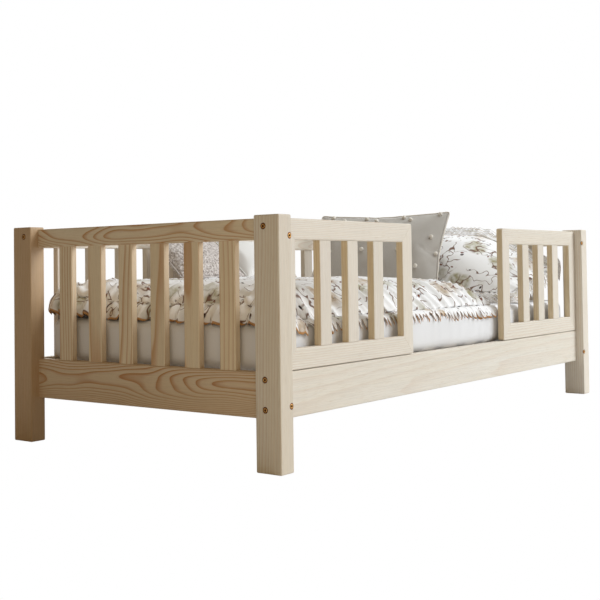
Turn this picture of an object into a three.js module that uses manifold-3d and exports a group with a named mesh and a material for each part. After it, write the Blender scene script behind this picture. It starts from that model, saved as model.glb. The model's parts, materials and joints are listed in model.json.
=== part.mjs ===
// Toddler bed: a bolted pine frame with slatted foot, head and back panels, a front side
// with two picture-frame guards and an entry gap between them, a slatted base, a mattress
// and its bedding.
//
// Units are millimetres. +Z is up, +X runs from the foot end to the head end, and the front
// side, where a child gets in, faces -Y. The origin is on the floor, under the bed's middle.

import * as THREE from 'three';
import { mergeVertices } from 'three/addons/utils/BufferGeometryUtils.js';
import Module from 'manifold-3d';

// ---- driving dimensions ------------------------------------------------------------------

const BED_LENGTH = 1700;
const BED_WIDTH = 900;
const BED_HEIGHT = 560;

const POST_ALONG = 45;          // post section, along the bed
const POST_ACROSS = 70;         // post section, across the bed
const FACE_INSET = 26;          // rails sit this far inside the posts' outer faces

const END_RAIL_THICKNESS = 22;
const SIDE_RAIL_THICKNESS = 24;
const LOWER_RAIL_BOTTOM = 113;
const LOWER_RAIL_HEIGHT = 102;
const TOP_RAIL_HEIGHT = 48;
const TOP_RAIL_DROP = 6;        // the top rails stop this far under the posts' tops

const PANEL_SLAT_WIDTH = 48;
const PANEL_SLAT_THICKNESS = 18;
const PANEL_SLAT_PITCH = 110.5;
const END_SLAT_COUNT = 6;
const BACK_SLAT_COUNT = 14;

const GUARD_LENGTH = 545;
const GUARD_THICKNESS = 20;
const GUARD_MEMBER = 48;        // width of the guard's four frame members
const GUARD_CORNER_RADIUS = 6;
const GUARD_GAP = 1.5;          // left open between a guard and the side rail under it
const GUARD_SLAT_WIDTH = 45;
const GUARD_SLAT_PITCH = 111.5;
const GUARD_SLAT_COUNT = 3;
const MITRE_GAP = 0.3;

const EDGE_RADIUS = 3;          // every long wooden edge is rounded over
const EDGE_STEPS = 2;          // arcs are drawn with twice this many chords

const BOLT_RECESS_RADIUS = 7.5;
const BOLT_RECESS_DEPTH = 3;
const BOLT_RECESS_SIDES = 24;
const END_BOLT_FROM_CENTRE = 407;            // on the posts' end faces, across the bed
const END_BOLT_HEIGHTS = { front: [137, 202, 535], back: [535] };
const SIDE_BOLT_FROM_CENTRE = 811;           // on the posts' side faces, along the bed
const SIDE_BOLT_HEIGHTS = [144, 514];

const LEDGE_WIDTH = 25;
const LEDGE_HEIGHT = 30;
const LEDGE_LENGTH = 1560;
const BASE_SLAT_COUNT = 13;
const BASE_SLAT_WIDTH = 70;
const BASE_SLAT_PITCH = 120;
const BASE_SLAT_THICKNESS = 18;
const BASE_HALF_WIDTH = 397;
const BASE_TOP = 210;
const TAPE_WIDTH = 22;
const TAPE_THICKNESS = 1.2;
const TAPE_FROM_CENTRE = 300;

const REST_GAP = 0.5;           // clearance under everything that only lies on its neighbour
const MATTRESS_LENGTH = 1590;
const MATTRESS_WIDTH = 792;
const MATTRESS_THICKNESS = 110;
const MATTRESS_CORNER_RADIUS = 60;
const MATTRESS_EDGE_RADIUS = 22;

const DUVET_FOOT_X = -796;
const DUVET_HEAD_X = 274;
const DUVET_WIDTH = 784;
const DUVET_THICKNESS = 94;
const DUVET_EDGE = 16;

// ---- derived places ----------------------------------------------------------------------

const POST_X = BED_LENGTH / 2 - POST_ALONG / 2;
const POST_Y = BED_WIDTH / 2 - POST_ACROSS / 2;
const INNER_POST_X = BED_LENGTH / 2 - POST_ALONG;
const INNER_POST_Y = BED_WIDTH / 2 - POST_ACROSS;
const END_PANEL_X = BED_LENGTH / 2 - FACE_INSET - END_RAIL_THICKNESS / 2;
const SIDE_RAIL_Y = BED_WIDTH / 2 - FACE_INSET - SIDE_RAIL_THICKNESS / 2;
const SIDE_RAIL_INNER_Y = SIDE_RAIL_Y - SIDE_RAIL_THICKNESS / 2;
const GUARD_Y = -(BED_WIDTH / 2 - FACE_INSET - GUARD_THICKNESS / 2);
const LOWER_RAIL_TOP = LOWER_RAIL_BOTTOM + LOWER_RAIL_HEIGHT;
const TOP_RAIL_TOP = BED_HEIGHT - TOP_RAIL_DROP;
const TOP_RAIL_BOTTOM = TOP_RAIL_TOP - TOP_RAIL_HEIGHT;
const MATTRESS_BOTTOM = BASE_TOP + REST_GAP;
const MATTRESS_TOP = MATTRESS_BOTTOM + MATTRESS_THICKNESS;
const DUVET_BOTTOM = MATTRESS_TOP + REST_GAP;

// ---- materials ---------------------------------------------------------------------------

const finish = (color, roughness) => new THREE.MeshStandardMaterial({ color, roughness, metalness: 0 });

const pine = finish(0xd9c59f, 0.55);
const basePine = finish(0xcdb892, 0.7);
const whiteCotton = finish(0xf0f0f2, 0.9);
const printedCotton = finish(0xe6e2dc, 0.9);
const greyKnit = finish(0x8f867e, 0.95);
const boucle = finish(0xb9b0ae, 1.0);

// ---- solids ------------------------------------------------------------------------------

const wasm = await Module();
wasm.setup();

function toSolid(geometry) {
  const bare = geometry.clone();
  bare.deleteAttribute('normal');
  bare.deleteAttribute('uv');
  const welded = mergeVertices(bare, 1e-4);
  return new wasm.Manifold(new wasm.Mesh({
    numProp: 3,
    vertProperties: new Float32Array(welded.attributes.position.array),
    triVerts: new Uint32Array(welded.index.array),
  }));
}

function toGeometry(solid) {
  const mesh = solid.getMesh();
  const geometry = new THREE.BufferGeometry();
  geometry.setAttribute('position', new THREE.BufferAttribute(new Float32Array(mesh.vertProperties), 3));
  geometry.setIndex(new THREE.BufferAttribute(new Uint32Array(mesh.triVerts), 1));
  geometry.computeVertexNormals();
  return geometry;
}

// A rectangle with round corners, centred on the origin.
function roundedRectangle(width, height, radius) {
  const x = width / 2 - radius;
  const y = height / 2 - radius;
  const quarter = Math.PI / 2;
  const shape = new THREE.Shape();
  shape.absarc(x, y, radius, 0, quarter);
  shape.absarc(-x, y, radius, quarter, 2 * quarter);
  shape.absarc(-x, -y, radius, 2 * quarter, 3 * quarter);
  shape.absarc(x, -y, radius, 3 * quarter, 4 * quarter);
  shape.closePath();
  return shape;
}

// A straight wooden member along X, Y or Z whose four long edges are rounded over.
function member(axis, length, across, height) {
  const section = axis === 'x' ? roundedRectangle(height, across, EDGE_RADIUS)
    : roundedRectangle(across, height, EDGE_RADIUS);
  const geometry = new THREE.ExtrudeGeometry(section, {
    depth: length,
    bevelEnabled: false,
    curveSegments: EDGE_STEPS,
  });
  geometry.translate(0, 0, -length / 2);
  if (axis === 'x') geometry.rotateY(Math.PI / 2);
  if (axis === 'y') geometry.rotateX(Math.PI / 2);
  return geometry;
}

const bed = new THREE.Group();

function place(parent, name, geometry, material, x, y, z) {
  const mesh = new THREE.Mesh(geometry, material);
  mesh.name = name;
  mesh.position.set(x, y, z);
  parent.add(mesh);
  return mesh;
}

// ---- posts -------------------------------------------------------------------------------

// A post is rounded on all its edges and has a shallow round recess for every bolt head.
function postSolid(alongSign, sideName, acrossSign) {
  const blank = new THREE.ExtrudeGeometry(roundedRectangle(POST_ALONG, POST_ACROSS, EDGE_RADIUS), {
    depth: BED_HEIGHT - 2 * EDGE_RADIUS,
    curveSegments: EDGE_STEPS,
    bevelThickness: EDGE_RADIUS,
    bevelSize: EDGE_RADIUS - 0.5,
    bevelOffset: 0.5 - EDGE_RADIUS,
    bevelSegments: 2,
  });
  blank.translate(alongSign * POST_X, acrossSign * POST_Y, EDGE_RADIUS);
  let post = toSolid(blank);
  const cutterLength = 2 * BOLT_RECESS_DEPTH;
  for (const height of END_BOLT_HEIGHTS[sideName]) {
    const cutter = new THREE.CylinderGeometry(
      BOLT_RECESS_RADIUS, BOLT_RECESS_RADIUS, cutterLength, BOLT_RECESS_SIDES);
    cutter.rotateZ(Math.PI / 2);
    cutter.translate(alongSign * BED_LENGTH / 2, acrossSign * END_BOLT_FROM_CENTRE, height);
    post = post.subtract(toSolid(cutter));
  }
  for (const height of SIDE_BOLT_HEIGHTS) {
    const cutter = new THREE.CylinderGeometry(
      BOLT_RECESS_RADIUS, BOLT_RECESS_RADIUS, cutterLength, BOLT_RECESS_SIDES);
    cutter.translate(alongSign * SIDE_BOLT_FROM_CENTRE, acrossSign * BED_WIDTH / 2, height);
    post = post.subtract(toSolid(cutter));
  }
  return toGeometry(post);
}

const ENDS = [['foot', -1], ['head', 1]];
const SIDES = [['front', -1], ['back', 1]];

for (const [endName, alongSign] of ENDS) {
  for (const [sideName, acrossSign] of SIDES) {
    const post = postSolid(alongSign, sideName, acrossSign);
    place(bed, `post_${endName}_${sideName}`, post, pine, 0, 0, 0);
  }
}

// ---- slatted panels: foot end, head end and back ------------------------------------------

function slatCentre(index, count, pitch) {
  return (index - (count - 1) / 2) * pitch;
}

function slatNumber(index, count) {
  return String(index + 1).padStart(String(count).length, '0');
}

const panelSlatHeight = TOP_RAIL_BOTTOM - LOWER_RAIL_TOP;
const panelSlatZ = (TOP_RAIL_BOTTOM + LOWER_RAIL_TOP) / 2;
const lowerRailZ = LOWER_RAIL_BOTTOM + LOWER_RAIL_HEIGHT / 2;
const topRailZ = TOP_RAIL_BOTTOM + TOP_RAIL_HEIGHT / 2;

for (const [endName, alongSign] of ENDS) {
  const panel = new THREE.Group();
  panel.position.x = alongSign * END_PANEL_X;
  bed.add(panel);
  const railLength = 2 * INNER_POST_Y;
  const lowerRail = member('y', railLength, END_RAIL_THICKNESS, LOWER_RAIL_HEIGHT);
  const topRail = member('y', railLength, END_RAIL_THICKNESS, TOP_RAIL_HEIGHT);
  place(panel, `${endName}_bottom_rail`, lowerRail, pine, 0, 0, lowerRailZ);
  place(panel, `${endName}_top_rail`, topRail, pine, 0, 0, topRailZ);
  for (let index = 0; index < END_SLAT_COUNT; index += 1) {
    const slat = member('z', panelSlatHeight, PANEL_SLAT_THICKNESS, PANEL_SLAT_WIDTH);
    const y = slatCentre(index, END_SLAT_COUNT, PANEL_SLAT_PITCH);
    place(panel, `${endName}_slat_${slatNumber(index, END_SLAT_COUNT)}`, slat, pine, 0, y, panelSlatZ);
  }
}

const sideRailLength = 2 * INNER_POST_X;
const backPanel = new THREE.Group();
backPanel.position.y = SIDE_RAIL_Y;
bed.add(backPanel);
const backLowerRail = member('x', sideRailLength, SIDE_RAIL_THICKNESS, LOWER_RAIL_HEIGHT);
const backTopRail = member('x', sideRailLength, SIDE_RAIL_THICKNESS, TOP_RAIL_HEIGHT);
place(backPanel, 'back_bottom_rail', backLowerRail, pine, 0, 0, lowerRailZ);
place(backPanel, 'back_top_rail', backTopRail, pine, 0, 0, topRailZ);
for (let index = 0; index < BACK_SLAT_COUNT; index += 1) {
  const slat = member('z', panelSlatHeight, PANEL_SLAT_WIDTH, PANEL_SLAT_THICKNESS);
  const x = slatCentre(index, BACK_SLAT_COUNT, PANEL_SLAT_PITCH);
  place(backPanel, `back_slat_${slatNumber(index, BACK_SLAT_COUNT)}`, slat, pine, x, 0, panelSlatZ);
}

// ---- front side: one low rail and two guards ----------------------------------------------

const frontRail = member('x', sideRailLength, SIDE_RAIL_THICKNESS, LOWER_RAIL_HEIGHT);
place(bed, 'front_side_rail', frontRail, pine, 0, -SIDE_RAIL_Y, lowerRailZ);

const guardHeight = TOP_RAIL_TOP - LOWER_RAIL_TOP - GUARD_GAP;

// The guard's frame as one ring in the XZ plane, before it is parted at its mitres.
function guardRing() {
  const outline = roundedRectangle(GUARD_LENGTH, guardHeight, GUARD_CORNER_RADIUS);
  const opening = roundedRectangle(GUARD_LENGTH - 2 * GUARD_MEMBER, guardHeight - 2 * GUARD_MEMBER, 1);
  outline.holes.push(new THREE.Path(opening.getPoints(1).reverse()));
  const ring = new THREE.ExtrudeGeometry(outline, {
    depth: GUARD_THICKNESS - 2 * EDGE_RADIUS,
    curveSegments: EDGE_STEPS,
    bevelThickness: EDGE_RADIUS,
    bevelSize: EDGE_RADIUS,
    bevelOffset: -EDGE_RADIUS,
    bevelSegments: 2,
  });
  ring.translate(0, 0, EDGE_RADIUS - GUARD_THICKNESS / 2);
  ring.rotateX(Math.PI / 2);
  return toSolid(ring);
}

// The part of the ring between two mitres. A member of the given run lies along +X at the
// ring's lower edge, and its two ends are cut at 45 degrees.
function mitreBlock(run) {
  const outside = 10;
  const inside = GUARD_MEMBER + outside;
  const slack = MITRE_GAP / Math.SQRT2;
  const end = run / 2;
  const trapezoid = new THREE.Shape([
    new THREE.Vector2(-end - outside + slack, -outside),
    new THREE.Vector2(end + outside - slack, -outside),
    new THREE.Vector2(end - inside - slack, inside),
    new THREE.Vector2(-end + inside + slack, inside),
  ]);
  const depth = 2 * GUARD_THICKNESS;
  const block = new THREE.ExtrudeGeometry(trapezoid, { depth, bevelEnabled: false });
  block.translate(0, 0, -depth / 2);
  return block;
}

function guardMember(ring, run, reach, quarterTurns) {
  const block = mitreBlock(run);
  block.translate(0, -reach / 2, 0);
  block.rotateZ(quarterTurns * Math.PI / 2);
  block.rotateX(Math.PI / 2);
  return toGeometry(ring.intersect(toSolid(block)));
}

function addGuard(endName, alongSign) {
  const guard = new THREE.Group();
  const middleX = alongSign * (INNER_POST_X - GUARD_LENGTH / 2);
  guard.position.set(middleX, GUARD_Y, TOP_RAIL_TOP - guardHeight / 2);
  bed.add(guard);
  const ring = guardRing();
  const postSide = alongSign > 0 ? 'post_stile' : 'entry_stile';
  const otherSide = alongSign > 0 ? 'entry_stile' : 'post_stile';
  const members = [
    ['bottom_rail', GUARD_LENGTH, guardHeight, 0],
    [postSide, guardHeight, GUARD_LENGTH, 1],
    ['top_rail', GUARD_LENGTH, guardHeight, 2],
    [otherSide, guardHeight, GUARD_LENGTH, 3],
  ];
  for (const [part, run, reach, quarterTurns] of members) {
    place(guard, `${endName}_guard_${part}`, guardMember(ring, run, reach, quarterTurns), pine, 0, 0, 0);
  }
  const slatHeight = guardHeight - 2 * GUARD_MEMBER;
  for (let index = 0; index < GUARD_SLAT_COUNT; index += 1) {
    const slat = member('z', slatHeight, GUARD_SLAT_WIDTH, GUARD_THICKNESS);
    const x = slatCentre(index, GUARD_SLAT_COUNT, GUARD_SLAT_PITCH);
    place(guard, `${endName}_guard_slat_${index + 1}`, slat, pine, x, 0, 0);
  }
}

for (const [endName, alongSign] of ENDS) {
  addGuard(endName, alongSign);
}

// ---- mattress support: ledges and slatted base --------------------------------------------

const ledgeTop = BASE_TOP - BASE_SLAT_THICKNESS;
for (const [sideName, acrossSign] of SIDES) {
  const ledge = member('x', LEDGE_LENGTH, LEDGE_WIDTH, LEDGE_HEIGHT);
  const y = acrossSign * (SIDE_RAIL_INNER_Y - LEDGE_WIDTH / 2);
  place(bed, `${sideName}_ledge`, ledge, basePine, 0, y, ledgeTop - LEDGE_HEIGHT / 2);
}

// Thirteen loose slats held at their pitch by two woven tapes stapled under them.
function slattedBase() {
  let base = null;
  for (let index = 0; index < BASE_SLAT_COUNT; index += 1) {
    const slat = new THREE.BoxGeometry(BASE_SLAT_WIDTH, 2 * BASE_HALF_WIDTH, BASE_SLAT_THICKNESS);
    slat.translate(slatCentre(index, BASE_SLAT_COUNT, BASE_SLAT_PITCH), 0, BASE_TOP - BASE_SLAT_THICKNESS / 2);
    base = base ? base.add(toSolid(slat)) : toSolid(slat);
  }
  const tapeLength = (BASE_SLAT_COUNT - 1) * BASE_SLAT_PITCH + BASE_SLAT_WIDTH / 2;
  for (const acrossSign of [-1, 1]) {
    const tape = new THREE.BoxGeometry(tapeLength, TAPE_WIDTH, TAPE_THICKNESS);
    tape.translate(0, acrossSign * TAPE_FROM_CENTRE, ledgeTop);
    base = base.add(toSolid(tape));
  }
  return toGeometry(base);
}

place(bed, 'slatted_base', slattedBase(), basePine, 0, 0, 0);

// ---- mattress and bedding -----------------------------------------------------------------

function mattressBlock() {
  const outline = roundedRectangle(MATTRESS_LENGTH, MATTRESS_WIDTH, MATTRESS_CORNER_RADIUS);
  return new THREE.ExtrudeGeometry(outline, {
    depth: MATTRESS_THICKNESS - 2 * MATTRESS_EDGE_RADIUS,
    curveSegments: 5,
    bevelThickness: MATTRESS_EDGE_RADIUS,
    bevelSize: MATTRESS_EDGE_RADIUS,
    bevelOffset: -MATTRESS_EDGE_RADIUS,
    bevelSegments: 3,
  });
}

place(bed, 'mattress', mattressBlock(), whiteCotton, 0, 0, MATTRESS_BOTTOM + MATTRESS_EDGE_RADIUS);

// How full a stuffed cover is at u, v, each from -1 to 1 between its seams.
function fullness(u, v, sharpness) {
  return Math.sqrt((1 - Math.abs(u) ** sharpness) * (1 - Math.abs(v) ** sharpness));
}

// A stuffed cover lying flat: thin at its seams, full in the middle, and with its sides
// pulled in between the corners. With a flat underside it keeps z >= 0.
function stuffedCover(length, width, thickness, edge, { pinch = 0.04, sharpness = 2.5, flatUnder = false } = {}) {
  const geometry = new THREE.BoxGeometry(length, width, 2, 10, 8, 1);
  const position = geometry.attributes.position;
  for (let index = 0; index < position.count; index += 1) {
    const u = position.getX(index) / (length / 2);
    const v = position.getY(index) / (width / 2);
    const side = Math.sign(position.getZ(index));
    const half = edge / 2 + (thickness - edge) / 2 * fullness(u, v, sharpness);
    const x = position.getX(index) * (1 - pinch * u * u * (1 - v * v));
    const y = position.getY(index) * (1 - pinch * v * v * (1 - u * u));
    const z = flatUnder ? half * (side + 1) : half * side;
    position.setXYZ(index, x, y, z);
  }
  return geometry;
}

const duvetLength = DUVET_HEAD_X - DUVET_FOOT_X;
const duvetX = (DUVET_HEAD_X + DUVET_FOOT_X) / 2;
const duvetCover = stuffedCover(duvetLength, DUVET_WIDTH, DUVET_THICKNESS, DUVET_EDGE,
  { pinch: 0, sharpness: 6, flatUnder: true });
place(bed, 'duvet', duvetCover, printedCotton, duvetX, 0, DUVET_BOTTOM);

// The pillow lies with its lower long seam on the mattress and leans back on the head panel.
// Its far part is tilted well up; its near end has slid down almost flat.
const PILLOW = {
  width: 570, height: 350, thickness: 117, seamX: 448, seamZ: 353, middleY: -75,
  tilt: 36.5, nearTilt: 11, bendFromY: -40, bendToY: -350,
};

function pillowTilt(y) {
  const share = THREE.MathUtils.smoothstep(-y, -PILLOW.bendFromY, -PILLOW.bendToY);
  return THREE.MathUtils.degToRad(THREE.MathUtils.lerp(PILLOW.tilt, PILLOW.nearTilt, share));
}

function pillowCover() {
  const geometry = stuffedCover(PILLOW.height, PILLOW.width, PILLOW.thickness, 14);
  const position = geometry.attributes.position;
  for (let index = 0; index < position.count; index += 1) {
    const up = position.getX(index) + PILLOW.height / 2;
    const y = position.getY(index) + PILLOW.middleY;
    const out = position.getZ(index);
    const tilt = pillowTilt(y);
    const x = PILLOW.seamX + up * Math.cos(tilt) - out * Math.sin(tilt);
    const z = PILLOW.seamZ + up * Math.sin(tilt) + out * Math.cos(tilt);
    position.setXYZ(index, x, y, z);
  }
  return geometry;
}

place(bed, 'pillow', pillowCover(), printedCotton, 0, 0, 0);

// Cushions stand on one long edge. `lean` tips the top back from upright, `turn` is the
// heading of that backwards lean, seen from above, from +X towards +Y.
const CUSHIONS = [
  {
    name: 'pompom_cushion', material: greyKnit, width: 480, height: 325, thickness: 90,
    centre: [422, 133, 486], lean: 29, turn: 12,
  },
  {
    name: 'boucle_cushion', material: boucle, width: 280, height: 180, thickness: 84,
    centre: [-290, 306, 486], lean: 50, turn: 90,
  },
  {
    name: 'white_cushion', material: whiteCotton, width: 240, height: 180, thickness: 84,
    centre: [-22, 306, 486], lean: 50, turn: 90,
  },
];

for (const cushion of CUSHIONS) {
  const cover = stuffedCover(cushion.height, cushion.width, cushion.thickness, 14);
  cover.rotateY(-Math.PI / 2);
  cover.rotateY(THREE.MathUtils.degToRad(cushion.lean));
  const mesh = place(bed, cushion.name, cover, cushion.material, ...cushion.centre);
  mesh.rotation.z = THREE.MathUtils.degToRad(cushion.turn);
}

export default bed;
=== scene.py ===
"""Toddler bed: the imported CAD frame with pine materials, bolts, mattress and simulated bedding."""

import json
import math
import random

import bmesh
import bpy
from mathutils import Matrix, Vector, noise


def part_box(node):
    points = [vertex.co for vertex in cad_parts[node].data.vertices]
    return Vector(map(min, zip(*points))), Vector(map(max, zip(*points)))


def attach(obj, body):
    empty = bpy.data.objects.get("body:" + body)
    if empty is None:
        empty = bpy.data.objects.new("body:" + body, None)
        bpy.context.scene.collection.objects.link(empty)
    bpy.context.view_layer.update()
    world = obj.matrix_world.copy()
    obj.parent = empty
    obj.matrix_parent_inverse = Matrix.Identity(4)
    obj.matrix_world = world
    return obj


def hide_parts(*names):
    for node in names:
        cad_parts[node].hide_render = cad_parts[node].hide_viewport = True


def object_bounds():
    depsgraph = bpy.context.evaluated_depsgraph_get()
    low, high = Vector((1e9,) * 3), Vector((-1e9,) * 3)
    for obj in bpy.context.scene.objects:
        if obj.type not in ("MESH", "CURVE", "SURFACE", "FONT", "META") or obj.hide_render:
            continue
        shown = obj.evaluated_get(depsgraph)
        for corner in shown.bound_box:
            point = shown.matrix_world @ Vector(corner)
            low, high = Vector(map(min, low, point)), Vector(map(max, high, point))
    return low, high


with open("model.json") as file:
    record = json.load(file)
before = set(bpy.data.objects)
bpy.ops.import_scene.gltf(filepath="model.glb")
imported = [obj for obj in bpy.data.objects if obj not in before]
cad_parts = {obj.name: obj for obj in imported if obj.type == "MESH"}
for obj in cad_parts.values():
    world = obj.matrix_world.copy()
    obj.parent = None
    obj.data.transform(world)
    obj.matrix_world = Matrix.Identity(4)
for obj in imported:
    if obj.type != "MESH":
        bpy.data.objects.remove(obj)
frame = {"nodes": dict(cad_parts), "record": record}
CAD_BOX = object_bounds()
NODES = frame["nodes"]
MM = 0.001

# ---- small helpers


def make_object(name, data):
    obj = bpy.data.objects.new(name, data)
    bpy.context.scene.collection.objects.link(obj)
    return obj


def mesh_data(name, mesh):
    """Turns a finished bmesh into a mesh, and frees it."""
    data = bpy.data.meshes.new(name)
    mesh.to_mesh(data)
    mesh.free()
    return data


def add_piece(name, data, body, place=Matrix()):
    obj = make_object(name, data)
    obj.matrix_world = place
    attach(obj, body)
    return obj


def wobble(x, y, z):
    """Smooth fixed noise, from about -1 to 1."""
    return noise.noise(Vector((x, y, z)))


def smoothstep(value, start, end):
    share = min(max((value - start) / (end - start), 0), 1)
    return share * share * (3 - 2 * share)


# ---- shader building


class Graph:
    """A short way to write shader nodes: add a node, set its inputs, and get its outputs.

    An input goes by its name, or by i and its number. A colour has three numbers."""

    def __init__(self, tree):
        self.tree = tree

    def give(self, socket, value):
        """Links an output to the socket, or sets the socket's own value."""
        if isinstance(value, bpy.types.NodeSocket):
            self.tree.links.new(value, socket)
        elif socket.type == "RGBA":
            socket.default_value = (*value, 1)
        else:
            socket.default_value = value

    def outputs(self, kind, props=None, **inputs):
        made = self.tree.nodes.new("ShaderNode" + kind)
        for name, value in (props or {}).items():
            setattr(made, name, value)
        for name, value in inputs.items():
            numbered = name[0] == "i" and name[1:].isdigit()
            self.give(made.inputs[int(name[1:]) if numbered else name], value)
        return made.outputs

    def add(self, kind, out=0, props=None, **inputs):
        return self.outputs(kind, props, **inputs)[out]

    def math(self, operation, *values):
        inputs = {f"i{k}": value for k, value in enumerate(values)}
        return self.add("Math", props={"operation": operation}, **inputs)

    def vector(self, operation, *values):
        inputs = {f"i{k}": value for k, value in enumerate(values)}
        return self.add("VectorMath", props={"operation": operation}, **inputs)

    def times(self, a, b):
        return self.math("MULTIPLY", a, b)

    def plus(self, a, b):
        return self.math("ADD", a, b)

    def stretch(self, vector, by):
        return self.vector("MULTIPLY", vector, by)

    def parts(self, vector):
        return self.outputs("SeparateXYZ", i0=vector)

    def mix(self, factor, a, b, blend="MIX"):
        props = {"data_type": "RGBA", "blend_type": blend}
        return self.add("Mix", out=2, props=props, i0=factor, i6=a, i7=b)

    def shade(self, colour, by, factor=1.0):
        """Multiplies a colour by another one."""
        return self.mix(factor, colour, by, "MULTIPLY")

    def noise(self, vector, scale, detail=2.0, rough=0.5):
        return self.add("TexNoise", Vector=vector, Scale=scale, Detail=detail, Roughness=rough)

    def ramp(self, factor, stops):
        """A ramp through (place, value) stops, whose values are greys or colours."""
        made = self.tree.nodes.new("ShaderNodeValToRGB")
        self.tree.links.new(factor, made.inputs[0])
        elements = made.color_ramp.elements
        while len(elements) < len(stops):
            elements.new(0.5)
        for element, (place, value) in zip(elements, stops):
            element.position = place
            element.color = (value, value, value, 1) if isinstance(value, (int, float)) else (*value, 1)
        return made.outputs[0]

    def bump(self, shader, height, strength, distance):
        raised = self.add("Bump", Strength=strength, Distance=distance, Height=height)
        self.give(shader.inputs["Normal"], raised)


def srgb(red, green, blue):
    """A colour given as it looks on a screen, 0 to 255, as the linear values shaders use."""
    def linear(value):
        value /= 255
        return value / 12.92 if value < 0.04045 else ((value + 0.055) / 1.055) ** 2.4
    return linear(red), linear(green), linear(blue)


def surface(name):
    """A new material, with the graph and the Principled shader to build it with."""
    material = bpy.data.materials.new(name)
    material.use_nodes = True
    return material, Graph(material.node_tree), material.node_tree.nodes["Principled BSDF"]


# ---- camera and light

LENS_MM, SENSOR_MM = 62.76, 36
CAMERA_SHIFT = (-0.033, -0.103)
CAMERA_PLACE = (-2.6008, -1.8503, 0.4426)
CAMERA_TURN = {"yaw": 0.6351, "pitch": -0.0283, "roll": -0.0143}
AMBIENT = (1.0, 0.77, 0.47)
AMBIENT_STRENGTH = 0.18


def aim(yaw, pitch, roll):
    """A camera turn: yaw from +X towards +Y, pitch down from level, roll about the view line."""
    forward = Vector((math.cos(yaw) * math.cos(pitch), math.sin(yaw) * math.cos(pitch), -math.sin(pitch)))
    level_right = Vector((math.sin(yaw), -math.cos(yaw), 0))
    level_up = level_right.cross(forward)
    right = level_right * math.cos(roll) + level_up * math.sin(roll)
    up = level_up * math.cos(roll) - level_right * math.sin(roll)
    return Matrix((right, up, -forward)).transposed()


def make_camera():
    data = bpy.data.cameras.new("camera")
    data.sensor_width = SENSOR_MM
    data.lens = LENS_MM
    data.shift_x, data.shift_y = CAMERA_SHIFT
    camera = make_object("camera", data)
    camera.matrix_world = Matrix.Translation(CAMERA_PLACE) @ aim(**CAMERA_TURN).to_4x4()
    bpy.context.scene.camera = camera


def make_world():
    """A dim warm light from all round, and a white backdrop that only the camera sees."""
    world = bpy.data.worlds.new("studio")
    bpy.context.scene.world = world
    world.use_nodes = True
    world.node_tree.nodes.clear()
    g = Graph(world.node_tree)
    ambient = g.add("Background", Color=AMBIENT, Strength=AMBIENT_STRENGTH)
    backdrop = g.add("Background", Color=(1, 1, 1), Strength=1.0)
    seen = g.add("LightPath", out="Is Camera Ray")
    both = g.add("MixShader", i0=seen, i1=ambient, i2=backdrop)
    g.outputs("OutputWorld", i0=both)


def add_lamp(name, kind, energy, colour, back):
    """A lamp that shines away from the direction back."""
    data = bpy.data.lights.new(name, kind)
    data.energy = energy
    data.color = colour
    lamp = make_object(name, data)
    lamp.rotation_mode = "QUATERNION"
    lamp.rotation_quaternion = back.to_track_quat("Z", "Y")
    return lamp


def add_panel(name, energy, colour, place, at, size):
    """A square lamp at a place, turned towards a point of the bed."""
    lamp = add_lamp(name, "AREA", energy, colour, Vector(place) - Vector(at))
    lamp.location = place
    lamp.data.size = size


def make_light():
    bpy.context.scene.view_settings.view_transform = "Standard"
    make_world()
    window = add_lamp("window", "SUN", 1.72, (0.90, 0.94, 0.975), Vector((0.50, -0.72, 0.52)))
    window.data.angle = math.radians(40)
    add_panel("room_right", 25, (0.86, 0.94, 1.0), place=(1.9, -2.7, 0.9), at=(0.7, -0.4, 0.3), size=1.6)
    add_panel("ceiling", 19, (0.88, 0.95, 1.0), place=(0.7, -0.3, 2.1), at=(0.4, 0.0, 0.3), size=1.3)
    add_panel("wall_left", 2.2, (1.0, 0.79, 0.50), place=(-1.85, -1.05, 0.6), at=(-0.85, -0.35, 0.35),
              size=0.8)
    add_panel("room_back", 22, (1.0, 0.93, 0.84), place=(0.9, 3.0, 1.5), at=(0.1, 0.3, 0.3), size=1.8)


# ---- pine


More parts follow.
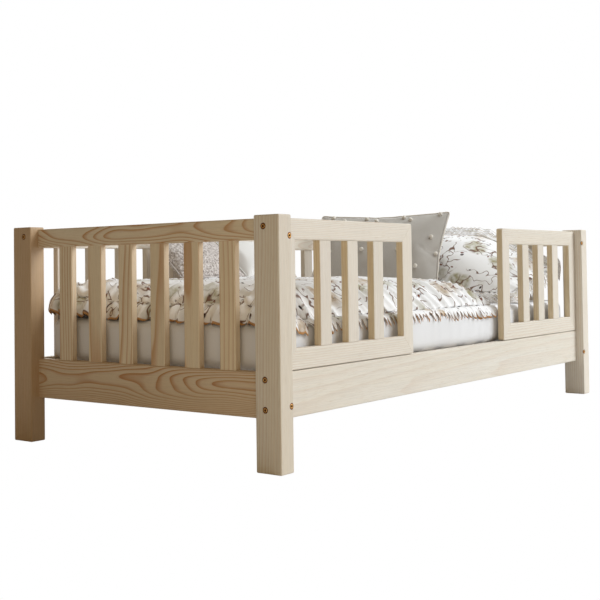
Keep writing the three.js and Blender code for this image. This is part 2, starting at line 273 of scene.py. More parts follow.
def pine_figure():
    """The node group for planed pine: growth rings of a log cut by the board's faces."""
    tree = bpy.data.node_groups.new("pine_figure", "ShaderNodeTree")
    inputs = {"Grain": "Vector", "Pith": "Vector", "Slope Y": "Float", "Slope Z": "Float", "Ring": "Float",
              "Contrast": "Float", "Wander": "Float", "Early": "Color", "Late": "Color"}
    outputs = {"Color": "Color", "Height": "Float", "Roughness": "Float"}
    for direction, sockets in (("INPUT", inputs), ("OUTPUT", outputs)):
        for name, kind in sockets.items():
            tree.interface.new_socket(name, in_out=direction, socket_type="NodeSocket" + kind)
    g = Graph(tree)
    given = tree.nodes.new("NodeGroupInput").outputs
    placed = g.vector("ADD", given["Grain"], given["Pith"])

    # the rings are circles about a pith that wanders and runs at a slant to the board
    slow = g.stretch(placed, (2.2, 6.0, 6.0))
    wander = g.add("TexNoise", out=1, Vector=slow, Scale=1.0, Detail=1.5)
    wander = g.vector("SUBTRACT", wander, (0.5, 0.5, 0.5))
    wander = g.stretch(wander, g.add("CombineXYZ", i0=0.0, i1=given["Wander"], i2=given["Wander"]))
    along, y, z = g.parts(g.vector("ADD", placed, wander))
    y = g.plus(y, g.times(along, given["Slope Y"]))
    z = g.plus(z, g.times(along, given["Slope Z"]))
    radius = g.math("SQRT", g.plus(g.times(y, y), g.times(z, z)))
    uneven = g.noise(g.stretch(placed, (0.3, 30.0, 30.0)), 1.0, 1.0)
    rings = g.plus(g.math("DIVIDE", radius, given["Ring"]), g.times(uneven, 1.2))
    phase = g.math("FRACT", rings)
    late = g.ramp(phase, [(0.0, 0.16), (0.1, 0.0), (0.55, 0.12), (0.86, 0.8), (0.95, 1.0), (1.0, 0.16)])

    # fibres and short dark flecks run along the grain, and the tone drifts across the board
    fibre = g.noise(g.stretch(placed, (9.0, 520.0, 520.0)), 1.0, 3.0, 0.6)
    fleck = g.noise(g.stretch(placed, (34.0, 1300.0, 1300.0)), 1.0, 1.0)
    tone = g.noise(g.stretch(placed, (1.1, 16.0, 16.0)), 1.0, 2.0)
    strength = g.times(late, given["Contrast"])
    fade = g.ramp(tone, [(0.3, 0.55), (0.7, 1.0)])
    colour = g.mix(g.times(strength, fade), given["Early"], given["Late"])
    colour = g.shade(colour, g.ramp(fibre, [(0.25, 0.90), (0.75, 1.05)]))
    colour = g.shade(colour, g.ramp(tone, [(0.25, (0.985, 0.955, 0.90)), (0.75, (1.0, 1.0, 1.0))]))
    colour = g.shade(colour, g.ramp(fleck, [(0.30, (0.82, 0.74, 0.62)), (0.40, (1.0, 1.0, 1.0))]), 0.55)
    height = g.plus(g.times(fibre, 0.7), g.times(late, 0.35))
    rough = g.plus(0.5, g.times(late, -0.10))
    out = tree.nodes.new("NodeGroupOutput")
    for name, value in (("Color", colour), ("Height", height), ("Roughness", rough)):
        tree.links.new(value, out.inputs[name])
    return tree


EARLY_WOOD = srgb(231, 225, 215)
LATE_WOOD = srgb(190, 142, 94)
# darker, more golden tints for the foot-end rails, posts and slats: painted shade of the foot end, darkest on
# its far post
FOOT_END_SHADE_TINTS = {"foot_bottom_rail": (0.94, 0.83, 0.68), "foot_top_rail": (1.02, 0.95, 0.82),
              "post_foot_back": (0.76, 0.59, 0.42), "post_foot_front": (0.92, 0.91, 0.88)}
FOOT_SLAT_SHADE_TINT = (1.02, 0.94, 0.79)
# a darker, more golden colour for the guard members' faces that face the bed's ends: painted warm shade
GUARD_END_FACE_SHADE = (1.0, 0.91, 0.72)
CONTRASTS = {"foot_bottom_rail": 1.35, "foot_top_rail": 1.2, "front_side_rail": 0.18}
FOOT_SLAT_CONTRAST = 1.0
PLAIN_CONTRAST = 0.36
CRISP_EDGE = 0.0006
# how wide the rings are, in metres, and how far the pith wanders
FLAT_SAWN = {"ring": (0.0024, 0.0030), "wander": 0.046}
STRAIGHT = {"ring": (0.0032, 0.0048), "wander": 0.009}


def straight_cut(pick):
    """The slopes and the pith of a board with nearly straight grain, cut well away from the pith."""
    slopes = [0.008 * pick.choice((-1, 1)) for _ in range(2)]
    pith = [pick.uniform(-3, 3)]
    pith += [pick.uniform(0.05, 0.12) * pick.choice((-1, 1)) for _ in range(2)]
    return slopes, pith


def arched_cut(name, axis, seed):
    """The slopes and the pith of a flat-sawn board, whose face shows arches as the pith passes at a slant."""
    pick = random.Random(seed)
    low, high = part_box(name)
    middle = (low + high) / 2
    across = middle.x if axis == "y" else middle.y
    slope = pick.choice((-1, 1)) * pick.uniform(0.018, 0.030)
    pith = (pick.uniform(-0.4, 0.4), -across + pick.uniform(0.06, 0.1) * pick.choice((-1, 1)),
            -middle.z + pick.uniform(-0.02, 0.02))
    return (slope, slope * 0.15), pith


def pine(name, axis, seed, contrast, arched, tint, group):
    """Pine for one board. axis is the way its grain runs, and arched its cut if it is flat-sawn. tint, where
    it is not white, darkens and warms the board as painted shade.
    """
    pick = random.Random(seed)
    material, g, shader = surface(name)
    place = g.add("TexCoord", out="Object")
    if axis != "x":
        x, y, z = g.parts(place)
        along, across, above = (y, x, z) if axis == "y" else (z, x, y)
        place = g.add("CombineXYZ", i0=along, i1=across, i2=above)
    board = pick.uniform(0.96, 1.03)
    contrast *= pick.uniform(0.8, 1.15)
    kind = FLAT_SAWN if arched else STRAIGHT
    ring = pick.uniform(*kind["ring"])
    slopes, pith = arched or straight_cut(pick)
    # tint shades the early and the late wood alike: painted shade that makes the foot-end boards darker and
    # more golden
    figure = g.outputs("Group", {"node_tree": group}, Grain=place, Pith=pith, Ring=ring, Contrast=contrast,
                       Wander=kind["wander"], Early=[c * k * board for c, k in zip(EARLY_WOOD, tint)],
                       Late=[c * k for c, k in zip(LATE_WOOD, tint)],
                       **{"Slope Y": slopes[0], "Slope Z": slopes[1]})
    colour = figure["Color"]
    # the guard members' faces that face the bed's ends are made darker and more golden: painted shade
    if "guard" in name:
        facing_x = g.math("ABSOLUTE", g.parts(g.add("TexCoord", out="Normal"))[0])
        colour = g.shade(colour, g.ramp(facing_x, [(0.55, (1, 1, 1)), (0.95, GUARD_END_FACE_SHADE)]))
    g.give(shader.inputs["Base Color"], colour)
    g.give(shader.inputs["Roughness"], figure["Roughness"])
    g.bump(shader, figure["Height"], strength=0.22, distance=0.0006)
    shader.inputs["Specular IOR Level"].default_value = 0.42
    shader.inputs["Coat Weight"].default_value = 0.06
    shader.inputs["Coat Roughness"].default_value = 0.35
    return material


def grain_axis(name):
    """The way a wooden node's grain runs: along its longest side, or along the slats of the base."""
    if name == "slatted_base":
        return "y"
    low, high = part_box(name)
    sides = list(high - low)
    return "xyz"[sides.index(max(sides))]


def smooth_edges(obj):
    """Softens the crisp edges that are left where a member ends, and shades the rest smooth."""
    bevel = obj.modifiers.new("soft edges", "BEVEL")
    bevel.width = CRISP_EDGE
    bevel.segments = 2
    bevel.limit_method = "ANGLE"
    bevel.angle_limit = math.radians(50)
    for polygon in obj.data.polygons:
        polygon.use_smooth = True
    obj.data.set_sharp_from_angle(angle=math.radians(36))


def dress_wood():
    group = pine_figure()
    for index, name in enumerate(sorted(frame["record"]["behaviour"]["bodies"]["frame"])):
        obj = NODES[name]
        axis = grain_axis(name)
        flat_sawn = name.endswith("rail") and "guard" not in name and "side" not in name
        arched = arched_cut(name, axis, index) if flat_sawn else None
        is_foot_slat = "foot_slat" in name
        contrast = CONTRASTS.get(name, FOOT_SLAT_CONTRAST if is_foot_slat else PLAIN_CONTRAST)
        # the foot-end boards take a painted-shade tint, darker and more golden than the rest
        tint = FOOT_END_SHADE_TINTS.get(name, FOOT_SLAT_SHADE_TINT if is_foot_slat else (1, 1, 1))
        material = pine(f"pine_{name}", axis, 100 + index, contrast, arched, tint, group)
        obj.data.materials.clear()
        obj.data.materials.append(material)
        smooth_edges(obj)


# ---- bolts

BOLT_SIDES = 36
# radius and height of each ring in mm, whether it is a hexagon, and whether the face above it is bright; the
# faces that are not bright, in the recess and the socket, take a dark bronze that is painted shade
BOLT_RINGS = [(7.3, -2.9, False, False), (7.3, -1.5, False, False), (7.1, -1.2, False, False),
              (5.0, -1.3, False, False), (4.8, -1.2, False, True), (4.7, -0.1, False, True),
              (4.3, 0.2, False, True), (3.2, 0.1, False, True), (2.6, -0.2, True, False),
              (2.5, -2.6, True, False)]
END_BOLT_HEIGHTS = {"front": (0.137, 0.202, 0.535), "back": (0.535,)}
SIDE_BOLT_HEIGHTS = (0.144, 0.514)
END_BOLT_Y = 0.407
SIDE_BOLT_X = 0.811


def bronze(name, dull, worn):
    material, g, shader = surface(name)
    wear = g.noise(g.add("TexCoord", out="Object"), 900.0, 3.0)
    g.give(shader.inputs["Base Color"], g.ramp(wear, [(0.35, dull), (0.65, worn)]))
    g.give(shader.inputs["Roughness"], g.ramp(wear, [(0.3, 0.30), (0.7, 0.46)]))
    shader.inputs["Metallic"].default_value = 1.0
    return material


def hexagon_reach(angle):
    """How far a hexagon of inner radius 1 reaches at an angle."""
    return 1 / math.cos((angle + math.pi / 6) % (math.pi / 3) - math.pi / 6)


def bolt_mesh(dark, bright):
    """A dark washer and a bright head with a hexagon socket, the axis along +Z, in a recess from z = 0. The
    washer, the recess walls and the socket are dark as painted shade.
    """
    mesh = bmesh.new()
    loops = []
    for radius, height, is_hexagon, _ in BOLT_RINGS:
        loop = []
        for turn in range(BOLT_SIDES):
            angle = 2 * math.pi * turn / BOLT_SIDES
            reach = radius * (hexagon_reach(angle) if is_hexagon else 1) * MM
            loop.append(mesh.verts.new((reach * math.cos(angle), reach * math.sin(angle), height * MM)))
        loops.append(loop)
    for lower, upper, ring in zip(loops, loops[1:], BOLT_RINGS):
        for turn in range(BOLT_SIDES):
            after = (turn + 1) % BOLT_SIDES
            face = mesh.faces.new((lower[turn], lower[after], upper[after], upper[turn]))
            face.material_index = int(ring[3])
            face.smooth = True
    mesh.faces.new(loops[0][::-1])
    mesh.faces.new(loops[-1])
    data = mesh_data("bolt_head", mesh)
    data.set_sharp_from_angle(angle=math.radians(50))
    data.materials.append(dark)
    data.materials.append(bright)
    return data


def add_bolts():
    # the dark bronze is painted shade for the recess and the socket; the bright bronze is the plated head
    data = bolt_mesh(bronze("recess_shade_bronze", srgb(84, 44, 26), srgb(132, 74, 40)),
                     bronze("bronze_plating", srgb(214, 150, 78), srgb(244, 200, 132)))
    half_length, half_width, _ = CAD_BOX[1]
    pick = random.Random(7)
    for end, x_sign in (("foot", -1), ("head", 1)):
        for side, y_sign in (("front", -1), ("back", 1)):
            places = [("end", (x_sign * half_length, y_sign * END_BOLT_Y, z), (x_sign, 0, 0))
                      for z in END_BOLT_HEIGHTS[side]]
            places += [("side", (x_sign * SIDE_BOLT_X, y_sign * half_width, z), (0, y_sign, 0))
                       for z in SIDE_BOLT_HEIGHTS]
            for count, (face, at, outwards) in enumerate(places, 1):
                spin = Matrix.Rotation(pick.uniform(0, math.pi / 3), 4, "Z")
                turn = Vector(outwards).to_track_quat("Z", "X").to_matrix().to_4x4()
                add_piece(f"bolt_{end}_{side}_{face}_{count}", data, "frame",
                          Matrix.Translation(at) @ turn @ spin)


# ---- sewn covers

# how far each empty layer stands off the middle, and how far apart the layers lie on the printed cloth
LAYER_OFF = 0.003
LAYERS_APART = 0.07
FILL_FRAMES = 22
FILL_RULES = {"quality": 6, "mass": 0.15, "air_damping": 3.0, "tension_stiffness": 15,
              "compression_stiffness": 12, "shear_stiffness": 6, "use_pressure": True,
              "uniform_pressure_force": 6.0}


def flat_cover(name, length, width, cell):
    """Two layers of cloth sewn together along their edges, lying flat and still empty.

    Gives the object and the numbers of the seam's vertices in order."""
    along, across = round(length / cell), round(width / cell)
    mesh = bmesh.new()
    uv = mesh.loops.layers.uv.new("cloth")
    spots = {}
    for i in range(along + 1):
        for j in range(across + 1):
            at = (i / along - 0.5) * length, (j / across - 0.5) * width
            edge = i in (0, along) or j in (0, across)
            top = mesh.verts.new((*at, 0 if edge else LAYER_OFF))
            spots[i, j, 1] = top
            spots[i, j, -1] = top if edge else mesh.verts.new((*at, -LAYER_OFF))
    for side in (1, -1):
        shift = 0 if side > 0 else width + LAYERS_APART
        for i in range(along):
            for j in range(across):
                places = [(i, j), (i + 1, j), (i + 1, j + 1), (i, j + 1)][::side]
                face = mesh.faces.new([spots[a, b, side] for a, b in places])
                face.smooth = True
                for loop, (a, b) in zip(face.loops, places):
                    loop[uv].uv = a / along * length, b / across * width + shift
    mesh.verts.index_update()
    round_trip = [(i, 0) for i in range(along)] + [(along, j) for j in range(across)]
    round_trip += [(i, across) for i in range(along, 0, -1)] + [(0, j) for j in range(across, 0, -1)]
    seam = [spots[i, j, 1].index for i, j in round_trip]
    return make_object(name, mesh_data(name, mesh)), seam


def apply_modifier(obj, modifier):
    depsgraph = bpy.context.evaluated_depsgraph_get()
    changed = bpy.data.meshes.new_from_object(obj.evaluated_get(depsgraph))
    obj.modifiers.remove(modifier)
    obj.data = changed


def divide(obj):
    """A modifier that divides every face in four. The vertices that were there keep their numbers."""
    finer = obj.modifiers.new("finer", "SUBSURF")
    finer.levels = finer.render_levels = 1
    return finer


def fill(obj, bending=0.05):
    """Blows the empty cover up in a cloth simulation, so that its edges pucker by themselves.

    Gives the places that the cover's points had while it was empty."""
    empty = [v.co.copy() for v in obj.data.vertices]
    cloth = obj.modifiers.new("cloth", "CLOTH")
    for rule, value in FILL_RULES.items():
        setattr(cloth.settings, rule, value)
    cloth.settings.bending_stiffness = bending
    cloth.settings.effector_weights.gravity = 0
    cloth.collision_settings.use_collision = False
    cloth.point_cache.frame_end = FILL_FRAMES
    scene = bpy.context.scene
    for number in range(1, FILL_FRAMES + 1):
        scene.frame_set(number)
    apply_modifier(obj, cloth)
    scene.frame_set(1)
    return empty


def fit_cover(obj, empty, length, width, thickness, pull, keep=0.35):
    """Brings a filled cover to its finished size, still in its own flat frame.

    empty has the places its points had before it was filled. The sides draw in by the share
    pull between the corners, and a share keep of the cover's own creeping and puckers is left."""
    spots = obj.data.vertices
    sizes = (length, width, thickness)
    low = [min(v.co[axis] for v in spots) for axis in range(3)]
    high = [max(v.co[axis] for v in spots) for axis in range(3)]
    half = [max(abs(e[axis]) for e in empty) for axis in (0, 1)]
    for v, start in zip(spots, empty):
        share = [start[axis] / half[axis] for axis in (0, 1)]
        for axis in range(3):
            v.co[axis] = ((v.co[axis] - low[axis]) / (high[axis] - low[axis]) - 0.5) * sizes[axis]
        own = keep * (1 - max(abs(share[0]), abs(share[1])) ** 6 * 0.6)
        for axis in (0, 1):
            drawn_in = 1 - pull * (1 - share[1 - axis] ** 2)
            wanted = share[axis] * sizes[axis] / 2 * drawn_in
            v.co[axis] = wanted + (v.co[axis] - wanted) * own


def gathers(x, y, half_x, half_y, tall, reach, wave, seed):
    """How far the folds that run in from a gathered seam stand out at a point of a cover."""
    lift = 0.0
    for run, inset in ((x, half_y - abs(y)), (y, half_x - abs(x))):
        fade = max(0, 1 - max(inset, 0) / (reach * (1 + 0.5 * wobble(run * 14, seed, 3.3))))
        side = seed + (2 if inset == half_y - abs(y) else 5)
        turn = run / wave + 0.9 * wobble(run * 7, side, 0.4)
        turn += 0.25 * inset / wave * wobble(run * 4, side, 8.4)
        height = 0.75 + 0.7 * wobble(run * 23, side, 6.1)
        lift += tall * height * fade ** 1.3 * (1 - 2 * abs(math.sin(math.pi * turn)))
    return lift


def even_loop(points, step, passes=3):
    """A closed line through the points, a little smoothed, with points at equal steps."""
    for _ in range(passes):
        points = [(points[k - 1] + points[k] * 2 + points[(k + 1) % len(points)]) / 4
                  for k in range(len(points))]
    runs = [(points[(k + 1) % len(points)] - points[k]).length for k in range(len(points))]
    total = sum(runs)
    count = round(total / step)
    even, k, gone = [], 0, 0.0
    for number in range(count):
        wanted = total * number / count
        while gone + runs[k] < wanted:
            gone += runs[k]
            k += 1
        even.append(points[k].lerp(points[(k + 1) % len(points)], (wanted - gone) / runs[k]))
    return even


def cloth_piece(obj, body, material):
    obj.data.materials.clear()
    obj.data.materials.append(material)
    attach(obj, body)


# ---- frills

FRILL_STEP = 0.0035
FRILL_ROWS = 8
FRILL_THICKNESS = 0.0011
# how much more cloth a frill has than the line it is gathered to, for its print
FRILL_FULLNESS = 1.6


def frill_directions(loop, k):
    """The way the seam runs at its point k, the way out of the cover, and how much the seam bends."""
    count = len(loop)
    ahead = loop[(k + 3) % count] - loop[k - 3]
    tangent = Vector((ahead.x, ahead.y, 0)).normalized()
    after = loop[(k + 4) % count] - loop[(k - 2) % count]
    bend = tangent.angle(Vector((after.x, after.y, 0)).normalized(), 0)
    return tangent, Vector((tangent.y, -tangent.x, 0)), bend


def frill_mesh(name, seam, depth, place, folds, seed):
    """The mesh of a frill gathered into a seam, which is a closed line in the cover's flat frame.

    place turns a point of the seam, its outward direction, a reach and a height into a point in the
    room. folds gives, at a point of the seam, the length and the height of the frill's waves, and how
    much of its depth the frill has there."""
    loop = even_loop(seam, FRILL_STEP)
    mesh = bmesh.new()
    uv = mesh.loops.layers.uv.new("cloth")
    grid, runs = [], []
    run, turns = 0.0, 0.0
    for k, point in enumerate(loop):
        tangent, outwards, bend = frill_directions(loop, k)
        wave, swing, share_of_depth = folds(point)
        # a bend of the seam spreads the frill, and its waves drift in length, height and depth
        step = FRILL_STEP + bend * depth * 0.7
        run += step
        turns += step / wave
        runs.append(run)
        phase = 2 * math.pi * (turns + wobble(run * 9, seed, 0.3) * 1.6)
        tall = swing * (1 + 1.1 * wobble(run * 19, seed, 5.1))
        deep = depth * share_of_depth * (1 + 0.12 * wobble(run * 13, seed, 9.7))
        row_points = []
        for row in range(FRILL_ROWS + 1):
            share = row / FRILL_ROWS
            # the waves are low at the seam, and lean and curl towards the hem
            spread = 0.22 + 0.78 * share ** 0.9
            curl = math.sin(phase + 1.3 * share * wobble(run * 30, seed, share))
            sideways = tall * 0.35 * spread * math.sin(2 * phase + 0.6)
            spot = point + tangent * sideways
            row_points.append(mesh.verts.new(place(spot, outwards, deep * share, tall * spread * curl)))
        grid.append(row_points)
    for k in range(len(loop)):
        after = (k + 1) % len(loop)
        start = runs[k] * FRILL_FULLNESS
        end = (runs[after] if after else runs[k] + FRILL_STEP) * FRILL_FULLNESS
        for row in range(FRILL_ROWS):
            corners = [grid[k][row], grid[after][row], grid[after][row + 1], grid[k][row + 1]]
            face = mesh.faces.new(corners)
            face.smooth = True
            heights = [row, row, row + 1, row + 1]
            for corner, u, v in zip(face.loops, (start, end, end, start), heights):
                corner[uv].uv = u, v / FRILL_ROWS
    return mesh_data(name, mesh)


def add_frill(body, seam, depth, place, folds, seed, material):
    data = frill_mesh(f"{body}_frill", seam, depth, place, folds, seed)
    obj = make_object(data.name, data)
    thick = obj.modifiers.new("two sides", "SOLIDIFY")
    thick.thickness = FRILL_THICKNESS
    thick.offset = 0
    divide(obj)
    cloth_piece(obj, body, material)


# ---- cloths


def weave(g, vector, per_metre):
    """The height of a plain weave, for bump."""
    along, across, _ = g.parts(vector)
    over = g.math("SINE", g.times(along, per_metre * math.tau))
    under = g.math("SINE", g.times(across, per_metre * math.tau))
    return g.times(over, under)


def cotton(name, colour):
    """Plain washed cotton: slightly uneven white with fine slubs."""
    material, g, shader = surface(name)
    place = g.add("TexCoord", out="Object")
    uneven = g.ramp(g.noise(place, 7.0, 2.0), [(0.3, 0.965), (0.7, 1.0)])
    g.give(shader.inputs["Base Color"], g.shade(colour, uneven))
    slub = g.noise(g.stretch(place, (260.0, 260.0, 900.0)), 1.0, 2.0)
    g.bump(shader, slub, strength=0.18, distance=0.0004)
    shader.inputs["Roughness"].default_value = 0.85
    shader.inputs["Sheen Weight"].default_value = 0.12
    shader.inputs["Sheen Roughness"].default_value = 0.5
    shader.inputs["Specular IOR Level"].default_value = 0.25
    return material


def leaf_patches(g, sheet, bent, colour):
    """Soft mottled patches, olive or sand, one to a cell of about 10 cm."""
    leaf = g.outputs("TexVoronoi", Vector=bent, Scale=10.5, Randomness=0.9)
    kind = g.outputs("SeparateColor", i0=leaf["Color"])
    olive, sand = srgb(144, 134, 76), srgb(184, 158, 122)
    tint = g.mix(g.math("GREATER_THAN", kind[1], 0.5), olive, sand)
    patch = g.ramp(leaf["Distance"], [(0.32, 0.85), (0.50, 0.0)])
    chosen = g.math("GREATER_THAN", kind[0], 0.22)
    mottle = g.ramp(g.noise(sheet, 55.0, 3.0), [(0.35, 0.35), (0.65, 1.0)])
    return g.mix(g.times(g.times(patch, chosen), mottle), colour, tint)


def stems(g, sheet, bent, colour):
    """Thin brown lines, here and there."""
    curl = g.noise(bent, 21.0, 1.2)
    stem = g.ramp(g.math("ABSOLUTE", g.math("SUBTRACT", curl, 0.5)), [(0.0085, 0.95), (0.021, 0.0)])
    here = g.ramp(g.noise(sheet, 8.0, 1.0), [(0.41, 0.0), (0.46, 1.0)])
    return g.mix(g.times(stem, here), colour, srgb(112, 78, 58))


def buds(g, sheet, bent, colour):
    """Small dark dots in groups."""
    bud = g.outputs("TexVoronoi", Vector=bent, Scale=46.0)
    kind = g.outputs("SeparateColor", i0=bud["Color"])
    spot = g.ramp(bud["Distance"], [(0.17, 1.0), (0.26, 0.0)])
    chosen = g.math("GREATER_THAN", kind[0], 0.22)
    grouped = g.ramp(g.noise(sheet, 11.0, 1.0), [(0.45, 0.0), (0.49, 1.0)])
    spot = g.times(g.times(spot, chosen), grouped)
    dark = g.mix(kind[2], srgb(40, 32, 32), srgb(122, 70, 48))
    return g.mix(spot, colour, dark)


def sprig_print(name, hem=False):
    """White muslin with a scattered print: soft leaf patches, thin stems and dark buds.

    With a hem, the cloth's second coordinate runs from 0 at the seam to 1 at a stitched edge."""
    material, g, shader = surface(name)
    sheet = g.add("UVMap", props={"uv_map": "cloth"})
    if hem:
        along, edge, _ = g.parts(sheet)
        sheet = g.add("CombineXYZ", i0=along, i1=g.times(edge, 0.048), i2=3.7)
    drift = g.add("TexNoise", out=1, Vector=sheet, Scale=16.0, Detail=2.0)
    drift = g.vector("SUBTRACT", drift, (0.5, 0.5, 0.5))
    bent = g.vector("ADD", sheet, g.stretch(drift, (0.045, 0.045, 0.0)))
    colour = leaf_patches(g, sheet, bent, (0.92, 0.92, 0.93))
    colour = stems(g, sheet, bent, colour)
    colour = buds(g, sheet, bent, colour)
    if hem:
        band = g.ramp(edge, [(0.90, 0.0), (0.925, 0.9), (1.0, 1.0)])
        colour = g.mix(band, colour, srgb(184, 134, 80))
    g.give(shader.inputs["Base Color"], colour)
    g.bump(shader, g.noise(sheet, 420.0, 3.0, 0.6), strength=0.3, distance=0.0006)
    shader.inputs["Roughness"].default_value = 0.9
    shader.inputs["Sheen Weight"].default_value = 0.15
    shader.inputs["Specular IOR Level"].default_value = 0.2
    return material


def knit(name):
    """Fine warm-grey knit with lighter fibres."""
    material, g, shader = surface(name)
    sheet = g.add("UVMap", props={"uv_map": "cloth"})
    fibre = g.noise(g.stretch(sheet, (1500.0, 700.0, 1.0)), 1.0, 2.0)
    tone = g.ramp(fibre, [(0.3, srgb(168, 163, 157)), (0.7, srgb(219, 215, 209))])
    tone = g.shade(tone, g.ramp(g.noise(sheet, 9.0, 3.0), [(0.3, 0.93), (0.7, 1.03)]))
    g.give(shader.inputs["Base Color"], tone)
    height = g.plus(g.times(weave(g, sheet, 330.0), 0.5), fibre)
    g.bump(shader, height, strength=0.5, distance=0.0007)
    shader.inputs["Roughness"].default_value = 0.95
    shader.inputs["Sheen Weight"].default_value = 0.3
    shader.inputs["Sheen Roughness"].default_value = 0.6
    shader.inputs["Specular IOR Level"].default_value = 0.15
    return material


def wool(name, colour):
    """Tufted wool for the pom-poms and the piping."""
    material, g, shader = surface(name)
    tuft = g.noise(g.add("TexCoord", out="Object"), 1400.0, 2.0)
    g.give(shader.inputs["Base Color"], g.shade(colour, g.ramp(tuft, [(0.3, 0.82), (0.7, 1.05)])))
    g.bump(shader, tuft, strength=0.6, distance=0.001)
    shader.inputs["Roughness"].default_value = 0.95
    shader.inputs["Sheen Weight"].default_value = 0.3
    return material


def boucle(name):
    """Looped yarn: pale curls over darker ground."""
    material, g, shader = surface(name)
    loops = g.noise(g.add("TexCoord", out="Object"), 210.0, 3.0, 0.65)
    ground, yarn, curl = srgb(146, 134, 130), srgb(205, 197, 192), srgb(228, 222, 218)
    g.give(shader.inputs["Base Color"], g.ramp(loops, [(0.36, ground), (0.52, yarn), (0.7, curl)]))
    g.bump(shader, loops, strength=0.8, distance=0.002)
    shader.inputs["Roughness"].default_value = 1.0
    shader.inputs["Sheen Weight"].default_value = 0.35
    return material


# ---- mattress

MATTRESS_LOW, MATTRESS_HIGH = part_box("mattress")
MATTRESS_MIDDLE = (MATTRESS_LOW + MATTRESS_HIGH) / 2
MATTRESS_HALF = (MATTRESS_HIGH - MATTRESS_LOW) / 2
MATTRESS_EDGE = 0.027
MATTRESS_CORNER = 0.062
OUTLINE_STEP = 0.011
SHEET_TUCK = 0.0025
EDGE_STEPS = 6
SIDE_ROWS = 9
UNDERSIDE_SHARES = (0.0, 0.3, 0.6, 0.85)
TOP_SHARES = (0.97, 0.93, 0.85, 0.75, 0.6, 0.45, 0.3, 0.15, 0.0)


def rounded_outline(half_x, half_y, radius, step):
    """Points and outward directions round a rectangle with round corners, at about equal steps."""
    places = []
    corners = [(1, 1, 0), (-1, 1, 90), (-1, -1, 180), (1, -1, 270)]
    for k, (sign_x, sign_y, start) in enumerate(corners):
        centre = Vector((sign_x * (half_x - radius), sign_y * (half_y - radius)))
        turns = max(6, round(radius * math.pi / 2 / step))
        for turn in range(turns + 1):
            angle = math.radians(start + 90 * turn / turns)
            facing = Vector((math.cos(angle), math.sin(angle)))
            places.append((centre + facing * radius, facing))
        ahead = corners[(k + 1) % 4]
        end = Vector((ahead[0] * (half_x - radius), ahead[1] * (half_y - radius))) + facing * radius
        begin = places[-1][0]
        count = round((end - begin).length / step)
        for number in range(1, count):
            places.append((begin.lerp(end, number / count), facing))
    return places


def mattress_profile():
    """The stops of the mattress's section, from the middle of its underside to the middle of its top.

    Each has its share of the outline's size, how far it is set in from the side, its height above
    the mattress's middle, and whether it belongs to the top."""
    full = MATTRESS_HALF.z
    straight = full - MATTRESS_EDGE
    corner = []
    for k in range(EDGE_STEPS + 1):
        angle = math.pi / 2 * k / EDGE_STEPS
        corner.append((MATTRESS_EDGE * (1 - math.sin(angle)), straight + MATTRESS_EDGE * math.cos(angle)))
    stops = [(share, MATTRESS_EDGE, -full, False) for share in UNDERSIDE_SHARES]
    stops += [(1, inset, -height, False) for inset, height in corner]
    stops += [(1, 0, straight * (2 * k / SIDE_ROWS - 1), False) for k in range(1, SIDE_ROWS)]
    stops += [(1, inset, height, True) for inset, height in reversed(corner)]
    stops += [(share, MATTRESS_EDGE, full, True) for share in TOP_SHARES]
    return stops


def mattress_ring(outline, share, inset, height, on_top):
    """The points of one stop of the section all the way round, with the sheet's folds."""
    if share == 0:
        return [MATTRESS_MIDDLE + Vector((0, 0, height))]
    steepness = 1 - abs(height) / MATTRESS_HALF.z * 0.35 if share == 1 else 0.4 * share
    bulge = 0.0016 * math.cos(height / MATTRESS_HALF.z * math.pi / 2) if share == 1 else 0
    ring = []
    for k, (place, facing) in enumerate(outline, 1):
        run = k * OUTLINE_STEP
        near_corner = min(abs(abs(facing.x) - 1), abs(abs(facing.y) - 1))
        folds = wobble(run * 21, height * 5, 0.5) * 0.0018 + wobble(run * 55, height * 9, 4.5) * 0.0009
        folds *= steepness * (1 + 2.0 * min(1, near_corner * 3))
        spot = (place + facing * (folds + bulge - SHEET_TUCK - inset)) * share
        lift = wobble(spot.x * 6, spot.y * 6, 1.5) * 0.0012 if on_top else 0
        ring.append(MATTRESS_MIDDLE + Vector((spot.x, spot.y, height + lift)))
    return ring


def make_mattress():
    """A foam mattress in a fitted sheet: plump edges, and soft upright folds where it is drawn tight."""
    outline = rounded_outline(MATTRESS_HALF.x, MATTRESS_HALF.y, MATTRESS_CORNER, OUTLINE_STEP)
    mesh = bmesh.new()
    rings = [[mesh.verts.new(point) for point in mattress_ring(outline, *stop)]
             for stop in mattress_profile()]
    for lower, upper in zip(rings, rings[1:]):
        for k in range(len(outline)):
            corners = [lower[k % len(lower)], lower[(k + 1) % len(lower)],
                       upper[(k + 1) % len(upper)], upper[k % len(upper)]]
            # the first and the last ring are one point, which a face takes only once
            mesh.faces.new(list(dict.fromkeys(corners))).smooth = True
    obj = make_object("mattress_body", mesh_data("mattress_body", mesh))
    cloth_piece(obj, "mattress", cotton("fitted_sheet", (0.84, 0.84, 0.86)))
    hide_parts("mattress")


# ---- duvet

# how far cloth may reach inside the bed's sides, and what it lies on
WELL_FRONT, WELL_BACK, WELL_FOOT, WELL_HEAD = -0.4025, 0.4015, -0.8015, 0.8005
MATTRESS_TOP = MATTRESS_HIGH.z + 0.0015
# half the length and width of the mattress with its fitted sheet, which may stand 2 mm proud
SHEET_HALF_X, SHEET_HALF_Y = 0.797, 0.398
ENTRY_HALF = 0.285
DUVET = {"length": 1.045, "width": 0.768, "middle_x": -0.2525, "seam": 0.338, "loft": 0.078,
         "half": 0.15, "frill": 0.056, "cut": 1.1, "cell": 0.014}


def dome(share, power=2.4):
    """The swell of a stuffed cover, from 0 at its seam to 1 where it is full."""
    return 1 - (1 - min(max(share, 0), 1)) ** power


